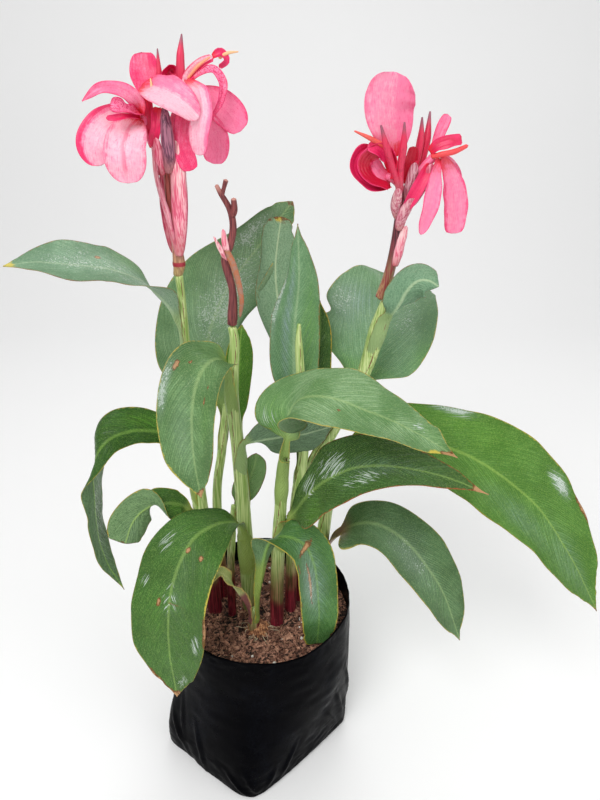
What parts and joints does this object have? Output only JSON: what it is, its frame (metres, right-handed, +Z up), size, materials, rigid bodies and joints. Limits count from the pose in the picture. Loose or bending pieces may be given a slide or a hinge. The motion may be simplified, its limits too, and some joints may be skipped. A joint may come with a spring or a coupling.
{
  "type": "canna lily plant",
  "caption": "Potted canna lily with broad arching leaves on sheathed shoots, two pink flower heads and a spent stalk, rooted in potting mix in a black polythene grow bag.",
  "frame": {"origin": "middle of the grow bag's flat base, on the surface that the bag stands on", "axes": "+Z up along the shoots, -Y towards the plant's front, where the low leaves hang over the bag's rim, +X to the right seen from the front"},
  "size_m": [0.5412, 0.2567, 0.7282],
  "materials": {
    "bag_film": "satin",
    "potting_mix": "matte",
    "rootstock": "matte",
    "shoot": "satin",
    "leaf": "satin",
    "dry_leaf": "matte",
    "flower_stalk": "satin",
    "spent_stalk": "matte",
    "petal": "satin"
  },
  "bodies": {
    "root": {"grow_bag": "bag_film", "potting_mix": "potting_mix", "rhizome": "rootstock", "shoot_left": "shoot", "shoot_spent": "shoot", "shoot_front": "shoot", "shoot_right": "shoot", "shoot_side": "shoot", "shoot_thin": "shoot", "shoot_low": "shoot", "shoot_furled": "shoot", "shoot_back": "shoot", "leaf_left_top": "leaf", "leaf_back_left": "leaf", "leaf_spent_drape": "leaf", "leaf_back_slip": "leaf", "leaf_left_arch": "leaf", "leaf_left_curl": "leaf", "leaf_front_left": "leaf", "leaf_front_small": "leaf", "leaf_low_right": "leaf", "leaf_mid_right": "leaf", "leaf_mid_lower": "leaf", "leaf_big_right": "leaf", "leaf_upright": "leaf", "leaf_upright_back": "leaf", "leaf_round_back": "leaf", "leaf_cap_right": "leaf", "leaf_under": "leaf", "leaf_stub": "leaf", "leaf_withered": "dry_leaf", "leaf_back_right": "leaf", "flower_stalk_left": "flower_stalk", "flower_stalk_right": "flower_stalk", "flower_stalk_spent": "spent_stalk", "bloom_left_side": "petal", "bloom_left_top": "petal", "bloom_left_right": "petal", "bloom_right_top": "petal", "bloom_right_left": "petal", "bloom_right_side": "petal"}
  },
  "joints": []
}
